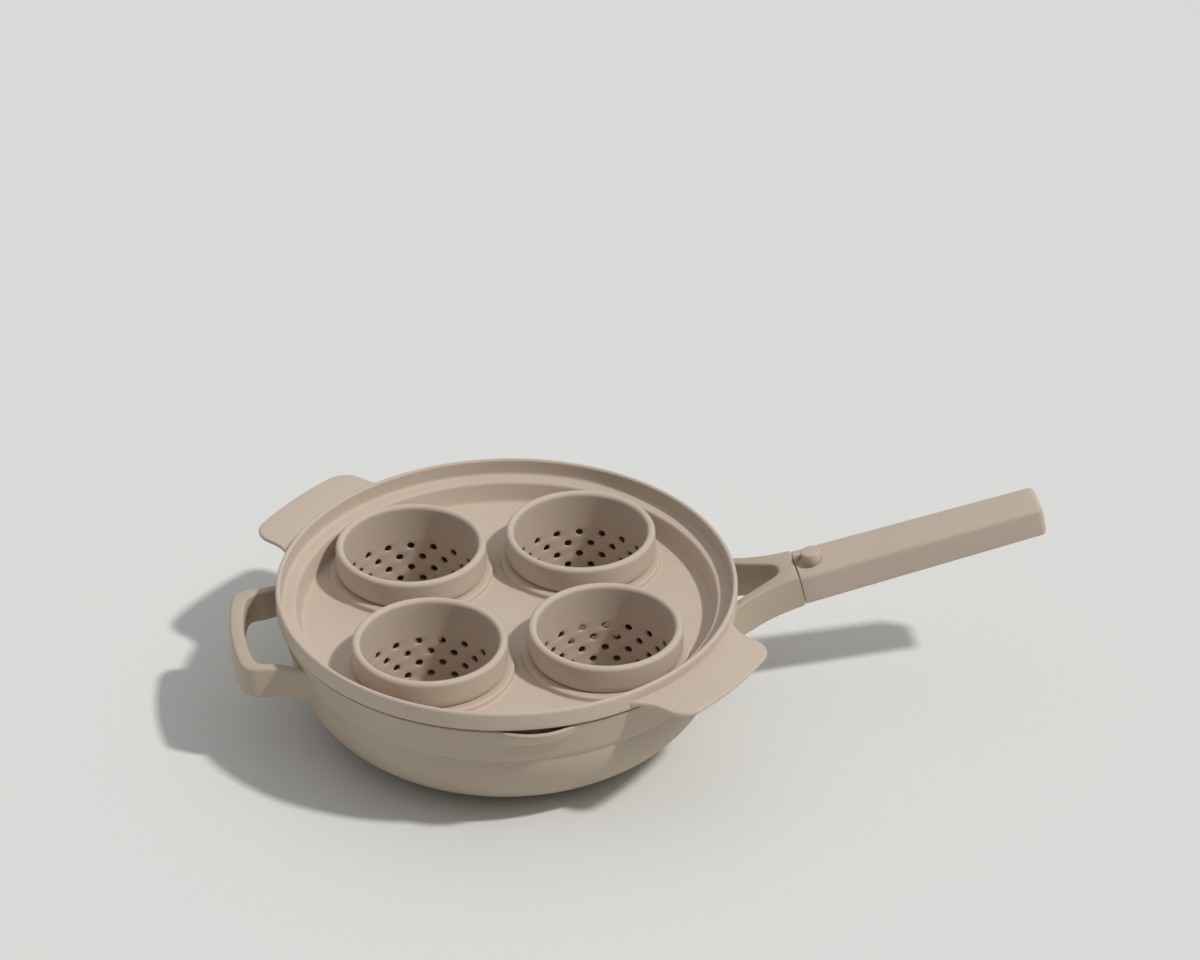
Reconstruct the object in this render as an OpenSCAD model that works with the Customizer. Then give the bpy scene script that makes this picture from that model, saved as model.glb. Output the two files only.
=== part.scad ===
// Egg poacher pan: a cast pan with a fork-mounted grip and a helper loop,
// a soft tray that closes it, and four perforated egg cups that lift out.
// Millimetres, +Z up. The origin is on the pan's axis, on the table.
// The long handle points along +X and the pour spouts lie at +Y and -Y.

/* [Pan] */
// Radius of the pan at its rim, outside
pan_r = 132.5; // [128:0.5:140]
// Height of the pan's rim above the table
pan_h = 75; // [70:0.5:84]
// Radius of the ring that stands on the table
base_r = 74; // [68:0.5:80]
// Thickness of the pan's wall
wall = 4; // [3.5:0.25:5]
// Thickness of the pan's base
base_t = 6; // [5:0.25:8]
// Depth of the band below the rim
band_h = 24.5; // [20:0.5:27]
// How much the band narrows from the rim down
band_taper = 5.5; // [3:0.25:6.5]
// How far the band stands out from the bowl below it
band_step = 0.6; // [0.2:0.1:1.2]
// Rounding of the rim's edges
rim_round = 1; // [0.4:0.1:1.4]

/* [Steel base plate] */
// Radius of the steel plate let into the base
plate_r = 63; // [52:1:66]
// Thickness of the steel plate
plate_t = 1.4; // [1:0.1:2]
// Radius of each round key hole through the plate
key_r = 3; // [2:0.25:4]
// Number of key holes in the plate's outer ring
key_count = 24; // [12:2:30]

/* [Pour spouts] */
// How far each spout bulges past the rim
spout_out = 5; // [3:0.5:7]
// Plan radius of the bulge
spout_r = 39; // [34:1:44]
// Depth of the bulge below the rim
spout_depth = 11; // [8:0.5:14]
// Wall left round the spout
spout_wall = 3; // [2.5:0.25:3.5]

/* [Helper handle] */
// Reach of the helper loop from the pan's rim
helper_out = 29; // [26:0.5:34]
// Half of the loop's width, outside
helper_half = 41.5; // [38:0.5:46]
// Bow of the loop's crossbar
helper_bow = 3.2; // [1.5:0.1:5]
// Width of the crossbar
helper_bar = 8.4; // [7:0.1:10]
// Width of each arm
helper_arm = 5.6; // [5:0.1:7]
// Corner radius of the loop, outside
helper_corner = 10; // [9:0.5:12]
// Height of the loop's band
helper_h = 20; // [16:0.5:22]
// Depth of the loop's top below the rim
helper_drop = 6.5; // [5:0.5:9]

/* [Fork] */
// Length of the fork from the rim to the grip
fork_len = 37.6; // [34:0.2:42]
// Tilt of the handle above level, in degrees
tilt = 12.9; // [10:0.1:15]
// Depth of the fork's top below the rim where it leaves the pan
fork_drop = 1.6; // [1.2:0.1:3]
// Height of the fork at the grip
fork_h = 20.8; // [19:0.1:22]
// Height of the fork at the pan
fork_root_h = 24.5; // [22:0.5:27]
// Half of the fork's spread where it meets the pan
fork_spread = 34; // [31:0.5:37]
// Radius of the opening's round end
fork_eye_r = 8; // [6.5:0.25:8.5]
// Wall between the opening and the grip
fork_neck = 10.1; // [8:0.1:13]
// Half of the angle at which the opening widens
fork_flare = 28; // [25:0.5:30]
// Length of the tang inside the grip
tang_len = 34; // [30:0.5:44]
// Width of the tang
tang_w = 12; // [10:0.5:13]
// Thickness of the tang
tang_t = 5; // [4.5:0.25:5.5]
// Depth of the tang's top below the grip's top
tang_deep = 9.6; // [9.4:0.1:10]

/* [Grip] */
// Length of the grip
grip_len = 149; // [120:1:160]
// Width of the grip at the fork
grip_w = 29.8; // [28:0.2:32]
// Width of the grip at its end
grip_end_w = 26.4; // [24:0.2:29]
// How much narrower the grip's underside is
grip_taper = 3.6; // [2:0.2:5]
// Height of the grip at its end
grip_end_h = 19.4; // [18:0.2:20.6]
// Rounding of the grip's long edges
grip_round = 4.5; // [3.5:0.25:5]
// Seam between the fork and the grip
grip_seam = 0.3; // [0.2:0.1:0.5]

/* [Rest peg] */
// Distance of the peg from the fork, along the grip
peg_x = 10.4; // [10.2:0.1:12]
// Radius of the peg
peg_r = 5.65; // [4.5:0.05:6]
// Height of the peg above the grip
peg_h = 7; // [5:0.25:9]
// Radius of the well round the peg
well_r = 8.6; // [8:0.1:8.8]
// Depth of the well
well_depth = 2.5; // [1.5:0.1:2.8]
// Rounding of the peg's top edge
peg_round = 1.2; // [0.6:0.1:2]
// Radius of the peg's screwed shank
peg_shank_r = 2; // [1.75:0.05:2.25]
// Outer radius of the threaded insert
insert_r = 3.4; // [3:0.1:3.8]
// Length of the threaded insert
insert_len = 5.8; // [5:0.1:6]

/* [Handle screw] */
// Distance of the screw from the fork, along the grip
screw_x = 22; // [20:0.5:26]
// Radius of the screw's shank
screw_r = 2.5; // [2:0.05:2.75]
// Radius of the screw's head
screw_head_r = 4.4; // [4.2:0.1:4.8]
// Thickness of the screw's head
screw_head_h = 2.4; // [2:0.1:2.6]
// Radius of the hexagonal key socket in the head
screw_key_r = 1.7; // [1.2:0.1:2]
// Depth of the key socket
screw_key_depth = 1.5; // [1:0.1:1.8]
// Outer radius of the lock washer
washer_r = 4.6; // [4.5:0.1:5]
// Thickness of the lock washer
washer_t = 0.8; // [0.6:0.1:1]
// Width of the lock washer's split
washer_split = 1; // [0.6:0.1:1.6]
// Floor of the grip between the tang and the washer
screw_floor = 2.2; // [2:0.1:2.4]

/* [Tray] */
// Height of the tray's rim above the pan's rim
tray_rise = 13; // [11:0.5:15]
// Thickness of the tray's rim
tray_rim = 3; // [2.6:0.1:3.4]
// How far the tray's rim stands out past the pan
tray_over = 1.5; // [1:0.1:2]
// Height of the shadow gap above the pan's rim
tray_gap = 1; // [0.6:0.1:1.6]
// Height of the ledge above the pan's rim
ledge_rise = 2.5; // [2.2:0.1:3.5]
// Width of the ledge
ledge_w = 8.8; // [8:0.2:9.6]
// Depth of the tray's floor below the ledge
basin_depth = 13; // [11:0.5:15]
// Inward slope of the basin's wall
basin_draft = 2.5; // [1.5:0.1:3.5]
// Thickness of the tray's basin
tray_t = 2.4; // [2:0.1:2.8]
// Width of the seat on the pan's rim
seat_w = 2; // [1.4:0.1:2.4]

/* [Tray tabs] */
// Reach of each tab past the pan's rim
tab_out = 30; // [26:0.5:34]
// Half of each tab's width
tab_half = 43; // [38:0.5:48]
// Corner radius of each tab
tab_corner = 14; // [10:0.5:18]
// Extra half width at the tab's root
tab_flare = 6; // [4:0.5:8]
// Crown of the tab's outer edge
tab_crown = 2; // [1:0.25:3]
// Depth of the tab's top below the tray's rim
tab_drop = 6; // [5:0.25:7]
// Thickness of each tab
tab_t = 3; // [2.4:0.1:3.4]

/* [Cups] */
// Gap between neighbouring cups
cup_gap = 12.2; // [11:0.2:16]
// Height of a cup's rim above its seat
cup_stand = 17.6; // [14:0.2:18.8]
// Depth of a cup below its seat
cup_drop = 44; // [42:0.5:47]
// Thickness of a cup's collar
cup_collar = 5; // [4.6:0.1:5.6]
// Thickness of a cup's lower wall
cup_wall = 2; // [1.6:0.1:2.4]
// How far the collar rounds in towards its seat
collar_tuck = 1.3; // [0.8:0.1:1.5]
// Inside radius at the cup's bottom corner
cup_corner = 6; // [5:0.25:6.5]
// Width of the raised lip beyond a cup's collar
lip_out = 3.7; // [3:0.1:4.5]
// Height of the raised lip above the tray's floor
lip_h = 3.5; // [3:0.1:4.5]

/* [Cup holes] */
// Radius of each drain hole
hole_r = 2.25; // [1.75:0.05:2.5]
// Number of holes in a row round the wall
hole_count = 18; // [12:1:20]
// Number of rows down the wall
row_count = 4; // [2:1:4]
// Distance between rows
row_pitch = 7.7; // [6.5:0.1:7.9]
// Depth of the first row below the cup's rim
row_first = 28; // [26:0.25:28.5]
// Distance between the rings of holes in the bottom
ring_pitch = 12; // [9:0.5:13]
// Turn of the rear left cup in its seat, in degrees
spin_rear_left = 5; // [0:1:20]
// Turn of the rear right cup in its seat, in degrees
spin_rear_right = 3; // [0:1:20]
// Turn of the front left cup in its seat, in degrees
spin_front_left = 14; // [0:1:20]
// Turn of the front right cup in its seat, in degrees
spin_front_right = 2; // [0:1:20]

/* [Fits] */
// Vertical clearance under a part that lifts off
lift_clear = 0.3; // [0.2:0.05:0.4]
// Radial clearance of a cup in its hole
cup_clear = 0.5; // [0.3:0.05:0.8]
// Clearance of the tang in the grip, each side
tang_clear = 0.15; // [0.1:0.05:0.3]
// Radial clearance of screws, the insert and the steel plate
screw_clear = 0.05; // [0.03:0.01:0.1]

/* [Hidden] */
$fn = 96;
eps = 0.01;
steps = 10;

pan_colour = "#a8977f";
tray_colour = "#c3b3a1";
grip_colour = "#bdab9a";
steel_colour = "#b9bbbd";
brass_colour = "#b99a57";

// Where the bowl's curve starts below the band
bowl_top = pan_h - band_h;
bowl_r = pan_r - band_taper - band_step;
inner_r = pan_r - wall;

// Tray, all measured from the pan's rim
tray_top = pan_h + tray_rise;
tray_r = pan_r + tray_over;
rim_in_r = tray_r - tray_rim;
ledge_z = pan_h + ledge_rise;
ledge_in_r = rim_in_r - ledge_w;
floor_z = ledge_z - basin_depth;
floor_r = ledge_in_r - basin_draft;
seat_z = pan_h + lift_clear;
tab_z = tray_top - tab_drop;

// Cups fill the tray: four collars, their lips and the gaps between them
lip_z = floor_z + lip_h;
cup_r = (floor_r - lip_out - cup_gap / sqrt(2)) / (1 + sqrt(2));
cup_off = cup_r + cup_gap / 2;
lip_r = cup_r + lip_out;
cup_seat = lip_z + lift_clear;
cup_top = lip_z + cup_stand;
cup_in_r = cup_r - cup_collar;
cup_out_r = cup_in_r + cup_wall;
cup_bottom = cup_seat - cup_drop;
hole_seat_r = cup_out_r + cup_clear;

// The handle's own frame starts at the top of the seam
joint_x = pan_r + fork_len;
joint_z = pan_h - fork_drop + fork_len * tan(tilt);
screw_roof = -tang_deep - tang_t - tang_clear - screw_floor;

function arc(cx, cy, r, from, to) =
    [for (i = [0 : steps]) let (a = from + (to - from) * i / steps) [cx + r * cos(a), cy + r * sin(a)]];

function curve(a, b, c, d) =
    [for (i = [0 : steps]) let (t = i / steps, s = 1 - t)
        s * s * s * a + 3 * s * s * t * b + 3 * s * t * t * c + t * t * t * d];

function flip(points) = [for (i = [len(points) - 1 : -1 : 0]) [points[i][0], -points[i][1]]];

// Quarter ellipse from the base ring up to the band
function bowl_side(foot, foot_z, top, top_z) =
    [for (i = [0 : 2 * steps]) let (a = 90 * i / (2 * steps))
        [foot + (top - foot) * sin(a), top_z - (top_z - foot_z) * cos(a)]];

module in_handle() {
    translate([joint_x, 0, joint_z])
        rotate([0, -tilt, 0])
            children();
}

module bowl_outside() {
    rotate_extrude($fn = 180)
        polygon(concat(
            [[0, 0]],
            bowl_side(base_r, 0, bowl_r, bowl_top),
            [[pan_r - band_taper, bowl_top + band_step]],
            arc(pan_r - rim_round, pan_h - rim_round, rim_round, 0, 90),
            [[0, pan_h]]
        ));
}

module bowl_inside() {
    rotate_extrude($fn = 180)
        polygon(concat(
            [[0, base_t]],
            bowl_side(base_r - base_t, base_t, inner_r - band_taper, bowl_top),
            [[inner_r, pan_h - seat_w], [inner_r, pan_h + eps], [0, pan_h + eps]]
        ));
}

// A shallow round bulge whose side curves back under the rim
module spout_bulge(r, depth) {
    translate([0, -(pan_r + spout_out - spout_r), pan_h - depth])
        rotate_extrude($fn = 120)
            polygon(concat(
                [[0, 0]],
                [for (i = [0 : steps]) let (a = 90 * i / steps)
                    [r - spout_out - wall + (spout_out + wall) * sin(a), depth * (1 - cos(a))]],
                [[0, depth]]
            ));
}

module both_spouts(r, depth, lift) {
    for (side = [0, 180])
        rotate([0, 0, side])
            translate([0, 0, lift])
                spout_bulge(r, depth);
}

function helper_side(edge, bow_x, corner) = concat(
    curve([bowl_r - wall - 11, edge + 11], [pan_r - 4, edge + 4], [pan_r + 4, edge + 0.6],
        [bow_x - helper_bow - corner - 2, edge]),
    arc(bow_x - helper_bow - corner, edge - corner, corner, 90, 12)
);

module helper_loop() {
    outer_x = pan_r + helper_out;
    inner_x = outer_x - helper_bar;
    inner_half = helper_half - helper_arm;
    outside = helper_side(helper_half, outer_x, helper_corner);
    inside = helper_side(inner_half, inner_x, helper_corner - 2);
    mirror([1, 0, 0])
        translate([0, 0, pan_h - helper_drop - helper_h])
            linear_extrude(helper_h)
                difference() {
                    polygon(concat(outside, [[outer_x, 0]], flip(outside)));
                    polygon(concat(inside, [[inner_x, 0]], flip(inside)));
                }
}

// Two plates that part round a teardrop opening
module fork() {
    half = grip_w / 2;
    eye_x = joint_x - fork_neck - fork_eye_r;
    root_x = bowl_r - wall - 3.4;
    eye_side = 90 - fork_flare;
    eye_end = eye_x + fork_eye_r * cos(eye_side);
    flare_y = fork_eye_r * sin(eye_side) + (eye_end - root_x) * tan(fork_flare);
    side = curve([root_x, fork_spread], [pan_r + 10, 19], [pan_r + 24, half + 0.3], [joint_x, half]);
    drop_x = fork_h * sin(tilt);
    drop_z = fork_h * cos(tilt);
    root_top = joint_z - (joint_x - root_x) * tan(tilt);
    intersection() {
        linear_extrude(3 * pan_h)
            difference() {
                polygon(concat(side, [[joint_x + fork_h, half], [joint_x + fork_h, -half]], flip(side)));
                polygon(concat(
                    arc(eye_x, 0, fork_eye_r, -eye_side, eye_side),
                    [[root_x - eps, flare_y], [root_x - eps, -flare_y]]
                ));
            }
        translate([0, 2 * fork_spread, 0])
            rotate([90, 0, 0])
                linear_extrude(4 * fork_spread)
                    polygon(concat(
                        [[root_x, root_top], [joint_x, joint_z], [joint_x + drop_x, joint_z - drop_z]],
                        curve(
                            [joint_x, joint_z - drop_z - drop_x * tan(tilt)],
                            [joint_x - 16, joint_z - drop_z - 6],
                            [pan_r + 12, root_top - fork_root_h + 6],
                            [root_x, root_top - fork_root_h]
                        )
                    ));
    }
}

module tang() {
    in_handle()
        translate([-fork_neck / 2, -tang_w / 2, -tang_deep - tang_t])
            cube([tang_len + fork_neck / 2, tang_w, tang_t]);
}

module pan_body() {
    color(pan_colour)
        difference() {
            union() {
                bowl_outside();
                both_spouts(spout_r, spout_depth, 0);
                helper_loop();
                fork();
                tang();
            }
            bowl_inside();
            both_spouts(spout_r - spout_wall, spout_depth - spout_wall, eps);
            difference() {
                translate([0, 0, -eps])
                    cylinder(r = plate_r + screw_clear, h = plate_t + eps);
                plate_keys(key_r - screw_clear);
            }
            in_handle()
                translate([screw_x, 0, -tang_deep - tang_t - eps])
                    cylinder(r = screw_r + screw_clear, h = tang_t + 2 * eps, $fn = 48);
        }
}

// Round keys of the casting that hold the steel plate
module plate_keys(r) {
    outer_ring = plate_r - 4 * key_r;
    for (ring = [1, 2])
        for (i = [0 : ring * key_count / 2 - 1])
            rotate([0, 0, 720 * i / (ring * key_count)])
                translate([ring * outer_ring / 2, 0, -1])
                    cylinder(r = r, h = plate_t + 2, $fn = 32);
}

module induction_plate() {
    color(steel_colour)
        difference() {
            cylinder(r = plate_r, h = plate_t);
            plate_keys(key_r);
        }
}

module grip_end(x, half, height, r) {
    for (side = [-1, 1]) {
        translate([x, side * (half - r), -r])
            children();
        translate([x, side * (half - grip_taper / 2 - r), r - height])
            children();
    }
}

module grip_block() {
    hull() {
        grip_end(grip_seam, grip_w / 2, fork_h, grip_round)
            rotate([0, 90, 0])
                cylinder(r = grip_round, h = 1, $fn = 32);
        grip_end(grip_len - grip_round, grip_end_w / 2, grip_end_h, grip_round)
            sphere(r = grip_round, $fn = 32);
    }
}

module handle_grip() {
    color(grip_colour)
        in_handle()
            difference() {
                grip_block();
                translate([peg_x, 0, -well_depth])
                    cylinder(r = well_r, h = well_depth + 1);
                translate([peg_x, 0, -well_depth - insert_len])
                    cylinder(r = insert_r + screw_clear, h = insert_len + 1, $fn = 48);
                translate([0, -tang_w / 2 - tang_clear, -tang_deep - tang_t - tang_clear])
                    cube([tang_len + tang_clear, tang_w + 2 * tang_clear, tang_t + 2 * tang_clear]);
                translate([screw_x, 0, -fork_h])
                    cylinder(r = screw_r + screw_clear, h = fork_h - tang_deep - tang_t, $fn = 48);
                translate([screw_x, 0, -fork_h - 1])
                    cylinder(r = washer_r + 2 * screw_clear, h = fork_h + 1 + screw_roof, $fn = 48);
            }
}

module rest_peg() {
    color(grip_colour)
        in_handle()
            translate([peg_x, 0, 0])
                rotate_extrude()
                    polygon(concat(
                        [[0, -well_depth - insert_len + 0.6], [peg_shank_r, -well_depth - insert_len + 0.6]],
                        [[peg_shank_r, -well_depth], [peg_r, -well_depth]],
                        arc(peg_r - peg_round, peg_h - peg_round, peg_round, 0, 90),
                        [[0, peg_h]]
                    ));
}

module peg_insert() {
    color(brass_colour)
        in_handle()
            translate([peg_x, 0, -well_depth - insert_len])
                difference() {
                    cylinder(r = insert_r, h = insert_len, $fn = 48);
                    translate([0, 0, 0.4])
                        cylinder(r = peg_shank_r + screw_clear, h = insert_len, $fn = 48);
                }
}

module handle_screw() {
    shank = -tang_deep - screw_roof - 0.4;
    color(steel_colour)
        in_handle()
            translate([screw_x, 0, screw_roof - washer_t])
                difference() {
                    union() {
                        translate([0, 0, -screw_head_h])
                            cylinder(r = screw_head_r, h = screw_head_h, $fn = 48);
                        cylinder(r = screw_r, h = shank + washer_t, $fn = 48);
                    }
                    translate([0, 0, -screw_head_h - eps])
                        cylinder(r = screw_key_r, h = screw_key_depth, $fn = 6);
                }
}

module lock_washer() {
    color(steel_colour)
        in_handle()
            translate([screw_x, 0, screw_roof - washer_t])
                difference() {
                    cylinder(r = washer_r, h = washer_t, $fn = 48);
                    translate([0, 0, -eps])
                        cylinder(r = screw_r + screw_clear, h = washer_t + 2 * eps, $fn = 48);
                    translate([0, -washer_split / 2, -eps])
                        cube([washer_r + 1, washer_split, washer_t + 2 * eps]);
                }
}

module tray_shell() {
    crest = tray_rim / 2;
    soft = 1.2;
    rotate_extrude($fn = 180)
        polygon(concat(
            [[0, floor_z], [floor_r - 2 * soft, floor_z], [floor_r, floor_z + 2 * soft]],
            arc(ledge_in_r + soft, ledge_z - soft, soft, 180, 90),
            [[rim_in_r - 2 * soft, ledge_z]],
            arc(rim_in_r - soft, ledge_z + soft, soft, 270, 360),
            arc(rim_in_r + crest, tray_top - crest, crest, 180, 0),
            [[tray_r, pan_h + tray_gap], [inner_r + seat_w, pan_h + tray_gap]],
            [[inner_r + seat_w, seat_z], [ledge_in_r + tray_t + 1, seat_z]],
            [[ledge_in_r + tray_t, seat_z - 1], [floor_r + tray_t, floor_z + soft - tray_t]],
            [[floor_r + tray_t - soft, floor_z - tray_t], [0, floor_z - tray_t]]
        ));
}

// Plan of one tab, reaching along +X with S-shaped roots
module tab_plan() {
    tip = pan_r + tab_out;
    corner_x = tip - tab_crown - tab_corner;
    root_x = pan_r - 4;
    side = concat(
        curve([root_x - 10, tab_half + tab_flare + 4], [root_x + 4, tab_half + tab_flare],
            [root_x + 4, tab_half], [corner_x - 3, tab_half]),
        arc(corner_x, tab_half - tab_corner, tab_corner, 90, 8)
    );
    polygon(concat(side, [[tip, 0]], flip(side)));
}

module tabs() {
    for (turn = [135, 315])
        rotate([0, 0, turn])
            translate([0, 0, tab_z - tab_t])
                linear_extrude(tab_t)
                    tab_plan();
}

module at_cups() {
    for (x = [-1, 1])
        for (y = [-1, 1])
            translate([x * cup_off, y * cup_off, 0])
                children();
}

module poacher_tray() {
    color(tray_colour)
        difference() {
            union() {
                tray_shell();
                difference() {
                    tabs();
                    translate([0, 0, tab_z - tab_t - 1])
                        cylinder(r = tray_r - tray_rim / 2, h = tab_t + 2, $fn = 180);
                }
                at_cups()
                    translate([0, 0, floor_z - tray_t])
                        cylinder(r = lip_r, h = tray_t + lip_h);
            }
            at_cups()
                translate([0, 0, floor_z - tray_t - 1])
                    cylinder(r = hole_seat_r, h = tray_t + lip_h + 2);
        }
}

module cup_shell() {
    crest = cup_collar / 2;
    tuck = 5;
    out_corner = cup_corner + cup_wall;
    rotate_extrude()
        polygon(concat(
            [[0, cup_bottom]],
            arc(cup_out_r - out_corner, cup_bottom + out_corner, out_corner, 270, 360),
            [[cup_out_r, cup_seat]],
            curve([cup_r - collar_tuck, cup_seat], [cup_r - 0.4 * collar_tuck, cup_seat + 0.2 * tuck],
                [cup_r, cup_seat + 0.6 * tuck], [cup_r, cup_seat + tuck]),
            arc(cup_r - crest, cup_top - crest, crest, 0, 180),
            arc(cup_in_r - cup_corner, cup_bottom + cup_wall + cup_corner, cup_corner, 360, 270),
            [[0, cup_bottom + cup_wall]]
        ));
}

// Rows of drills round the lower wall, each row turned by half a pitch
module wall_holes() {
    for (row = [0 : row_count - 1])
        for (i = [0 : hole_count - 1])
            translate([0, 0, cup_top - row_first - row * row_pitch])
                rotate([0, 0, 360 * (i + (row % 2) / 2) / hole_count])
                    translate([cup_in_r - 1, 0, 0])
                        rotate([0, 90, 0])
                            cylinder(r = hole_r, h = cup_wall + 2, $fn = 32);
}

module bottom_holes() {
    for (ring = [0 : 2])
        for (i = [0 : max(6 * ring - 1, 0)])
            rotate([0, 0, 60 * i / max(ring, 1)])
                translate([ring * ring_pitch, 0, cup_bottom - 1])
                    cylinder(r = hole_r, h = cup_wall + 2, $fn = 32);
}

module egg_cup(x, y, spin) {
    color(tray_colour)
        translate([x * cup_off, y * cup_off, 0])
            rotate([0, 0, spin])
                difference() {
                    cup_shell();
                    wall_holes();
                    bottom_holes();
                }
}

module egg_cup_rear_left() {
    egg_cup(-1, 1, spin_rear_left);
}

module egg_cup_rear_right() {
    egg_cup(1, 1, spin_rear_right);
}

module egg_cup_front_left() {
    egg_cup(-1, -1, spin_front_left);
}

module egg_cup_front_right() {
    egg_cup(1, -1, spin_front_right);
}

pan_body();
induction_plate();
handle_grip();
rest_peg();
peg_insert();
handle_screw();
lock_washer();
poacher_tray();
egg_cup_rear_left();
egg_cup_rear_right();
egg_cup_front_left();
egg_cup_front_right();
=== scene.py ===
"""Looks of an egg poacher pan: a cast pan, its soft tray and four perforated cups.

Every mesh is worked out in millimetres from the object's own sizes, in the frame of the
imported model, and turned into metres when it becomes a Blender object.
"""
import logging
import math
from dataclasses import dataclass, field
from enum import Enum
from typing import Callable, Sequence

import bmesh
import bpy
from mathutils import Matrix, Vector
from mathutils.geometry import delaunay_2d_cdt


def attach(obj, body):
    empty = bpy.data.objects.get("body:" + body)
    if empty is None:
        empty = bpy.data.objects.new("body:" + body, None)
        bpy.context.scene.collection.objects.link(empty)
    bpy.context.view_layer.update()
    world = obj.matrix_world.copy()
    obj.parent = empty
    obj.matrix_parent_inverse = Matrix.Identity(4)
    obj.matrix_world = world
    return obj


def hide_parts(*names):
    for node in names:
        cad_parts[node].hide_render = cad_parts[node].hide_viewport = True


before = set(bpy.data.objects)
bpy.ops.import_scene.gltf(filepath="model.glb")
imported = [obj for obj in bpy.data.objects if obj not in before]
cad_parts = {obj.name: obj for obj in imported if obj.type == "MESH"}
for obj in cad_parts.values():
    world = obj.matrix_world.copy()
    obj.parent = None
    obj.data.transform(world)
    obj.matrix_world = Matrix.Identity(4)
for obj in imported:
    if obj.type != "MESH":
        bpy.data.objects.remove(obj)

LOG = logging.getLogger("egg_poacher_pan")
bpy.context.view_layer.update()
MM = 0.001
SHARP_ANGLE = math.radians(38)

Point = tuple[float, float]
Point3 = tuple[float, float, float]
Colour = tuple[float, float, float]


def arc(cx: float, cy: float, r: float, start: float, end: float, steps: int = 6) -> list[Point]:
    """Points along a circular arc.

    Args:
        cx: First coordinate of the centre.
        cy: Second coordinate of the centre.
        r: Radius.
        start: Angle of the first point, in degrees.
        end: Angle of the last point, in degrees.
        steps: Number of segments.

    Returns:
        The points, both ends included.
    """
    turns = [math.radians(start + (end - start) * i / steps) for i in range(steps + 1)]
    return [(cx + r * math.cos(t), cy + r * math.sin(t)) for t in turns]


def bezier(a: Point, b: Point, c: Point, d: Point, steps: int = 16) -> list[Point]:
    """Points along a cubic curve.

    Args:
        a: First end.
        b: First handle.
        c: Second handle.
        d: Last end.
        steps: Number of segments.

    Returns:
        The points, both ends included.
    """
    points = []
    for i in range(steps + 1):
        t = i / steps
        s = 1 - t
        w = (s * s * s, 3 * s * s * t, 3 * s * t * t, t * t * t)
        points.append(tuple(sum(k * p[n] for k, p in zip(w, (a, b, c, d))) for n in (0, 1)))
    return points


def mirrored(points: Sequence[Point]) -> list[Point]:
    """The points in reverse order, on the other side of the first axis."""
    return [(x, -y) for x, y in reversed(points)]


def resampled(points: Sequence[Point], count: int) -> list[Point]:
    """Points spaced evenly along an open line.

    Args:
        points: The line's own points.
        count: Number of points to return.

    Returns:
        Evenly spaced points, both ends included.
    """
    lengths = [math.dist(p, q) for p, q in zip(points, points[1:])]
    total = sum(lengths)
    found = []
    leg, passed = 0, 0.0
    for i in range(count):
        wanted = total * i / (count - 1)
        while leg < len(lengths) - 1 and passed + lengths[leg] < wanted:
            passed += lengths[leg]
            leg += 1
        t = min(max((wanted - passed) / lengths[leg], 0.0), 1.0)
        p, q = points[leg], points[leg + 1]
        found.append((p[0] + (q[0] - p[0]) * t, p[1] + (q[1] - p[1]) * t))
    return found


def inset(outline: Sequence[Point], distance: float, held: int = 0) -> list[Point]:
    """A closed anticlockwise outline moved inwards.

    Args:
        outline: The closed outline's points.
        distance: How far each side moves in.
        held: How many of the last points stay where they are.

    Returns:
        As many points as the outline has.
    """
    count = len(outline)
    moved = []
    for i, (x, y) in enumerate(outline):
        if i >= count - held:
            moved.append((x, y))
            continue
        px, py = outline[i - 1]
        nx, ny = outline[(i + 1) % count]
        a = Vector((x - px, y - py)).normalized()
        b = Vector((nx - x, ny - y)).normalized()
        normal = Vector((-(a.y + b.y), a.x + b.x)).normalized()
        reach = distance / max(normal.dot(Vector((-a.y, a.x))), 0.5)
        moved.append((x + normal.x * reach, y + normal.y * reach))
    return moved


class Side(Enum):
    """Material slots of a piece that has more than one finish."""

    OUTSIDE = 0
    INSIDE = 1


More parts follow.
